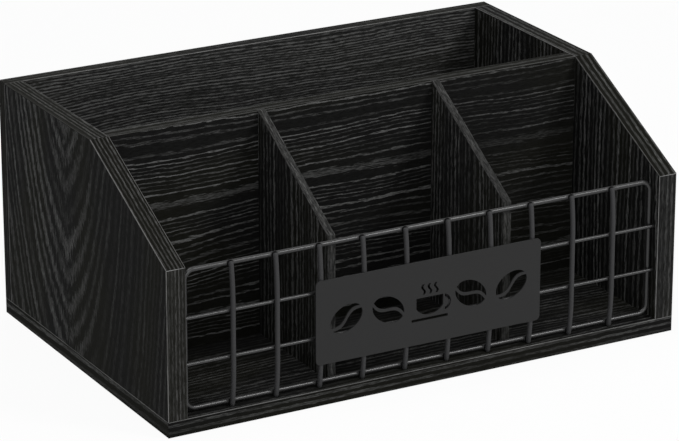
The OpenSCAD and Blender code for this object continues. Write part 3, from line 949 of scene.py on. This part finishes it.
rod = rod_tree()
cross_boxes = {node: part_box(node) for node in ("lower_cross_wire", "upper_cross_wire")}
for node, (low, high) in cross_boxes.items():
    centre = (low + high) / 2
    start, end = Vector((low.x, centre.y, centre.z)), Vector((high.x, centre.y, centre.z))
    piece = grow(f"{node}_rod", rod, start=start, end=end, wire=high.z - low.z, finish=shaded_rail_coat)
    settle(piece, WIRE_SLOT, node)

# %% [markdown]
# The ten upright wires lie in front of the cross wires and are pressed back at both ends until they
# touch the loop. One wire is made along a line whose points are pushed back by a parabola outside the
# straight middle, and is then set on a row of evenly spaced points. The coat rounds its cut ends a
# little, so the section shrinks at the first and the last point.

# %% Copies in a row
def copies_at(tree, points, shape, **turn):
    """A copy of the shape on each point."""
    return result(tree, "GeometryNodeInstanceOnPoints", {"Points": points, "Instance": shape, **turn})


def row_of(tree, shape, pitch, count):
    """Copies of the shape in a row along X, with the row's middle at the origin."""
    spans = calc(tree, "SUBTRACT", count, 1.0)
    first = product(tree, spans, pitch, -0.5)
    inputs = {"Count": count, "Start Location": vector(tree, first), "Offset": vector(tree, pitch)}
    return copies_at(tree, result(tree, "GeometryNodeMeshLine", inputs), shape)


print(f"{UPRIGHT_COUNT} uprights, {upright_pitch / MM:.2f} mm apart")

# %% Upright wires
STRAIGHT_PAST_WELD = 4.0 * MM
PATH_POINTS = 110
END_SHRINK = 0.3
upright_wire = first_high.x - first_low.x
cross_z = [(low.z + high.z) / 2 for low, high in cross_boxes.values()]
grille_mid = sum(cross_z) / 2
straight_half = (cross_z[1] - cross_z[0]) / 2 + STRAIGHT_PAST_WELD
foot_bow = first_high.y - first_low.y - upright_wire
bow_radius = (grille_mid - first_low.z - straight_half) ** 2 / (2 * foot_bow)


def uprights_tree():
    numbers = "low high middle straight bow_radius depth wire pitch"
    tree, given = shape_tree("bowed_uprights", numbers, count="Int")
    ends = [vector(tree, 0, given["depth"], given[end]) for end in ("low", "high")]
    inputs = {"Curve": straight(tree, *ends), "Count": PATH_POINTS}
    line = result(tree, "GeometryNodeResampleCurve", inputs)
    place = result(tree, "GeometryNodeInputPosition")
    height = add(tree, "ShaderNodeSeparateXYZ", {0: place}).outputs["Z"]
    from_middle = calc(tree, "ABSOLUTE", calc(tree, "SUBTRACT", height, given["middle"]))
    past = calc(tree, "MAXIMUM", calc(tree, "SUBTRACT", from_middle, given["straight"]), 0.0)
    double_radius = product(tree, given["bow_radius"], 2.0)
    push = calc(tree, "DIVIDE", calc(tree, "POWER", past, 2.0), double_radius)
    inputs = {"Geometry": line, "Offset": vector(tree, 0, push, 0)}
    path = result(tree, "GeometryNodeSetPosition", inputs)
    at_end = result(tree, "GeometryNodeCurveEndpointSelection")
    wire = tube(tree, path, given["wire"], calc(tree, "MULTIPLY_ADD", at_end, -END_SHRINK, 1.0))
    return end_tree(tree, given, row_of(tree, wire, given["pitch"], given["count"]))


uprights = grow(
    "grille_uprights", uprights_tree(), low=first_low.z, high=first_high.z, middle=grille_mid,
    straight=straight_half, bow_radius=bow_radius, depth=first_low.y + upright_wire / 2,
    wire=upright_wire, pitch=upright_pitch, count=UPRIGHT_COUNT, finish=lit_upright_coat,
)
settle(uprights, WIRE_SLOT, *upright_nodes)
print(f"bow radius {bow_radius / MM:.0f} mm, pushed back {foot_bow / MM:.2f} mm at the ends")

# %% [markdown]
# ## Welds
#
# Where two wires cross, they are clamped and welded by a burst of current. The steel softens, the
# wires sink a little into each other and a small collar swells round the contact. Under the coat it
# reads as a soft bulge in the corner between the wires. A squashed sphere at each crossing gives it.
# One tree sets a row of them on each of the points it is given, so the same tree serves the ten
# uprights on four wires, the loop's ends on the cross wires and the sign plate on its six uprights.

# %% Weld beads
BEAD_SIDES, BEAD_RINGS = 12, 7
loop_front = loop_low.y
cross_front = cross_boxes["lower_cross_wire"][0].y
cross_back = cross_boxes["lower_cross_wire"][1].y
rail_z = (loop_low.z + loop_wire / 2, loop_high.z - loop_wire / 2)


def beads_tree():
    tree, given = shape_tree("weld_beads", "pitch across thick", count="Int")
    inputs = {"Segments": BEAD_SIDES, "Rings": BEAD_RINGS, "Radius": 0.5}
    ball = result(tree, "GeometryNodeMeshUVSphere", inputs)
    size = vector(tree, given["across"], given["thick"], given["across"])
    bead = result(tree, "GeometryNodeTransform", {"Geometry": ball, "Scale": size})
    row = row_of(tree, bead, given["pitch"], given["count"])
    return end_tree(tree, given, copies_at(tree, given["Geometry"], row))


beads = beads_tree()
plate_low, plate_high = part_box("sign_plate")
PLATE_WELD_SHARES, PLATE_UPRIGHTS = (0.15, 0.5, 0.85), 6
plate_weld_z = [plate_low.z + share * (plate_high.z - plate_low.z) for share in PLATE_WELD_SHARES]

# Each row: its depth and heights, its pitch and count, and a bead's width and thickness in millimetres
BEADS = {
    "rail_welds": (loop_front, rail_z, upright_pitch, UPRIGHT_COUNT, 4.2, 1.9),
    "cross_welds": (cross_front, cross_z, upright_pitch, UPRIGHT_COUNT, 3.5, 1.5),
    "stile_welds": (cross_back, cross_z, loop_span, 2, 2.6, 1.5),
    "plate_welds": (plate_high.y, plate_weld_z, upright_pitch, PLATE_UPRIGHTS, 3.0, 1.0),
}
# The beads wear the near-black weld coat, which paints the shade round each crossing
for name, (depth, heights, pitch, count, across, thick) in BEADS.items():
    sizes = dict(pitch=pitch, count=count, across=across * MM, thick=thick * MM)
    piece = grow(name, beads, [(0, depth, z) for z in heights], finish=weld_shade_coat, **sizes)
    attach(piece, "root")

# %% [markdown]
# ## Sign plate
#
# The plate is cut from one-millimetre sheet by laser and coated after cutting, so its rims are not
# knife-sharp: the coat rounds them. The CAD plate has the right outline and openings, and a copy with
# every rim bevelled by about a seventh of a millimetre gives the thin light edge round each opening.

# %% Plate
RIM_WIDTH = 0.14 * MM
RIM_STEPS = 2
FACE_TILT = 0.5


def make_plate():
    work = merged_copy("sign_plate")
    rims = []
    for edge in work.edges:
        tilts = sorted(abs(face.normal.y) for face in edge.link_faces)
        if len(tilts) == 2 and tilts[0] < FACE_TILT < tilts[1]:
            rims.append(edge)
    bevel(work, rims, RIM_WIDTH, RIM_STEPS)
    piece = keep(work, "pierced_sign_plate")
    paint(piece, plate_coat)
    settle(piece, SIGN_SLOT, "sign_plate")
    return len(rims)


print(f"sign plate: {make_plate()} rim edges rounded")

# %% [markdown]
# ## Screws
#
# Sixteen countersunk wood screws hold the box together, up through the base and in through the back.
# Only their heads show, but the model is a solid one, so the screw is modelled whole: a cone-shaped
# head with a cross recess, a plain shank, a thread and a point. One screw is built in mesh code,
# because a thread is a radius that depends on the angle and the height together. Geometry Nodes then
# set it on the places of the CAD screws, which are found by splitting each CAD node into its
# separate solids.

# %% One screw
SCREW_SIDES = 28
SCREW_LENGTH = 30.0 * MM
HEAD_RADIUS = 3.5 * MM
SHANK_RADIUS = 1.4 * MM
CORE_RADIUS = 1.15 * MM
CREST_RADIUS = 1.74 * MM
THREAD_PITCH = 1.6 * MM
THREAD_START = 9.0 * MM
THREAD_ROWS = 6
CREST_SLOPE = 4.0
TIP_LENGTH = 4.0 * MM
RECESS_REACH = 2.1 * MM
RECESS_HALF = 0.45 * MM
RECESS_DEPTH = 1.4 * MM
RECESS_TAPER = 0.72


def thread_radius(z, turn):
    """Radius of the thread at height z and at that share of a turn, drawn in towards the point."""
    phase = (z / THREAD_PITCH - turn) % 1.0
    crest = max(0.0, 1.0 - abs(phase - 0.5) * CREST_SLOPE)
    radius = CORE_RADIUS + (CREST_RADIUS - CORE_RADIUS) * crest
    return radius * min(1.0, (SCREW_LENGTH - z) / TIP_LENGTH)


def screw_rows():
    """The screw's rings from the head's rim to just before the point, as lists of points."""
    neck = HEAD_RADIUS - SHANK_RADIUS
    plain = [(0.0, HEAD_RADIUS), (neck, SHANK_RADIUS), (THREAD_START, SHANK_RADIUS)]
    rows = [[(z, radius)] * SCREW_SIDES for z, radius in plain]
    step = THREAD_PITCH / THREAD_ROWS
    z = THREAD_START + step
    while z < SCREW_LENGTH - step:
        rows.append([(z, thread_radius(z, i / SCREW_SIDES)) for i in range(SCREW_SIDES)])
        z += step
    turn = 2 * math.pi / SCREW_SIDES
    return [
        [Vector((r * math.cos(i * turn), r * math.sin(i * turn), z)) for i, (z, r) in enumerate(row)]
        for row in rows
    ]


def cross_outline(scale, z):
    """The recess's twelve corners, counter-clockwise."""
    corner = [(RECESS_REACH, -RECESS_HALF), (RECESS_REACH, RECESS_HALF), (RECESS_HALF, RECESS_HALF)]
    points = []
    for quarter in range(4):
        turned = Matrix.Rotation(quarter * math.pi / 2, 3, "Z")
        points += [turned @ Vector((x * scale, y * scale, z)) for x, y in corner]
    return points


def join_rings(work, low, high):
    for i in range(len(low)):
        j = (i + 1) % len(low)
        work.faces.new((low[i], low[j], high[j], high[i]))


def rim_edges(work, ring):
    return [work.edges.get((ring[i - 1], ring[i])) for i in range(len(ring))]


def make_screw():
    work = bmesh.new()
    rings = [[work.verts.new(p) for p in row] for row in screw_rows()]
    for low, high in zip(rings, rings[1:]):
        join_rings(work, low, high)
    point = work.verts.new((0, 0, SCREW_LENGTH))
    for i in range(SCREW_SIDES):
        work.faces.new((rings[-1][i], rings[-1][(i + 1) % SCREW_SIDES], point))
    mouth = [work.verts.new(p) for p in cross_outline(1.0, 0.0)]
    floor = [work.verts.new(p) for p in cross_outline(RECESS_TAPER, RECESS_DEPTH)]
    join_rings(work, mouth, floor)
    work.faces.new(floor)
    rims = rim_edges(work, rings[0]) + rim_edges(work, mouth)
    bmesh.ops.triangle_fill(work, edges=rims, use_beauty=True)
    bmesh.ops.recalc_face_normals(work, faces=work.faces)
    screw = keep(work, "screw_pattern")
    scene.collection.objects.unlink(screw)
    return screw


screw_pattern = make_screw()
print(f"screw: {len(screw_pattern.data.polygons)} faces, {SCREW_LENGTH / MM} mm long")

# %% Screws in place
STEEL_SLOT = "screw_steel"
ZINC, ZINC_SHADE, ZINC_ROUGHNESS = (0.58, 0.59, 0.60), 0.8, (0.22, 0.47)
CLOUD_STRETCH = (0.7, 0.7, 0.7)
UPWARD, FORWARD = Vector((0, 0, 0)), Vector((math.radians(90), 0, 0))


def steel_material():
    material, tree, shader = blank_material("zinc_steel")
    cloud = noise(tree, board_point(tree), CLOUD_STRETCH, 2.0)
    colour = blend(tree, cloud, shade_of(ZINC, ZINC_SHADE), shade_of(ZINC, 1.0))
    fill(tree, shader.inputs["Base Color"], colour)
    fill(tree, shader.inputs["Roughness"], between(tree, cloud, *ZINC_ROUGHNESS))
    shader.inputs["Metallic"].default_value = 1.0
    return material


def solids_of(node):
    """The boxes of a CAD node's separate solids, as pairs of corners, in the order of their places."""
    work = merged_copy(node)
    left, boxes = set(work.verts), []
    while left:
        found, waiting = set(), [left.pop()]
        while waiting:
            vert = waiting.pop()
            found.add(vert)
            for edge in vert.link_edges:
                other = edge.other_vert(vert)
                if other in left:
                    left.discard(other)
                    waiting.append(other)
        xyz = list(zip(*(vert.co for vert in found)))
        boxes.append((Vector(map(min, xyz)), Vector(map(max, xyz))))
    work.free()
    return sorted(boxes, key=lambda box: tuple(box[0]))


def copies_tree():
    tree, given = shape_tree("copies_on_points", pattern="Object", turn="Vector")
    copied = add(tree, "GeometryNodeObjectInfo", {"Object": given["pattern"]}).outputs["Geometry"]
    return end_tree(tree, given, copies_at(tree, given["Geometry"], copied, Rotation=given["turn"]))


copies = copies_tree()
zinc = steel_material()
SCREW_TURNS = {
    "side_screws": UPWARD,
    "middle_screws": UPWARD,
    "back_edge_screws": UPWARD,
    "back_face_screws": FORWARD,
}
for node, turn in SCREW_TURNS.items():
    heads = []
    for low, high in solids_of(node):
        centre = (low + high) / 2
        heads.append((centre.x, high.y, centre.z) if turn.x else (centre.x, centre.y, low.z))
    piece = grow(f"{node}_threaded", copies, heads, pattern=screw_pattern, turn=turn, finish=zinc)
    settle(piece, STEEL_SLOT, node)
bpy.data.objects.remove(screw_pattern)

# %% [markdown]
# ## Dowels
#
# The middle divider meets the sides end-on and no screw shows on the outside, so beech dowels hold it
# there. A dowel is fluted to let glue and air out of its hole. Its section is a circle whose radius
# dips once for every flute, and it is drawn along a short line. Nothing of it shows, so its finish is
# a plain pale wood with a little grain.

# %% Dowels in place
DOWEL_SLOT = "dowel_wood"
DOWEL_FLUTES, SIDES_PER_FLUTE = 16, 6.0
FLUTE_DEPTH = 0.06
BEECH_LOW, BEECH_HIGH = (0.46, 0.30, 0.16, 1.0), (0.60, 0.42, 0.24, 1.0)
BEECH_STRETCH, BEECH_ROUGHNESS = (0.15, 2.0, 2.0), 0.7


def beech_material():
    material, tree, shader = blank_material("beech")
    grain = noise(tree, board_point(tree), BEECH_STRETCH, 3.0)
    fill(tree, shader.inputs["Base Color"], blend(tree, grain, BEECH_LOW, BEECH_HIGH))
    shader.inputs["Roughness"].default_value = BEECH_ROUGHNESS
    return material


def dowels_tree():
    tree, given = shape_tree("fluted_dowels", "length width", flutes="Int")
    sides = product(tree, given["flutes"], SIDES_PER_FLUTE)
    inputs = {"Resolution": sides, "Radius": calc(tree, "DIVIDE", given["width"], 2.0)}
    circle = result(tree, "GeometryNodeCurvePrimitiveCircle", inputs)
    place = result(tree, "GeometryNodeInputPosition")
    axes = add(tree, "ShaderNodeSeparateXYZ", {0: place}).outputs
    angle = calc(tree, "ARCTAN2", axes["Y"], axes["X"])
    wave = calc(tree, "COSINE", product(tree, angle, given["flutes"]))
    dip = calc(tree, "MULTIPLY_ADD", wave, FLUTE_DEPTH / 2, 1.0 - FLUTE_DEPTH / 2)
    drawn_in = result(tree, "ShaderNodeVectorMath", {0: place, "Scale": dip}, operation="SCALE")
    section = result(tree, "GeometryNodeSetPosition", {"Geometry": circle, "Position": drawn_in})
    half = calc(tree, "DIVIDE", given["length"], 2.0)
    line = straight(tree, vector(tree, product(tree, half, -1.0)), vector(tree, half))
    return end_tree(tree, given, copies_at(tree, given["Geometry"], sweep(tree, line, section)))


dowel_boxes = solids_of("dowels")
dowel_size = dowel_boxes[0][1] - dowel_boxes[0][0]
dowels = grow(
    "fluted_dowels", dowels_tree(), [(low + high) / 2 for low, high in dowel_boxes],
    length=dowel_size.x, width=dowel_size.z, flutes=DOWEL_FLUTES, finish=beech_material(),
)
settle(dowels, DOWEL_SLOT, "dowels")
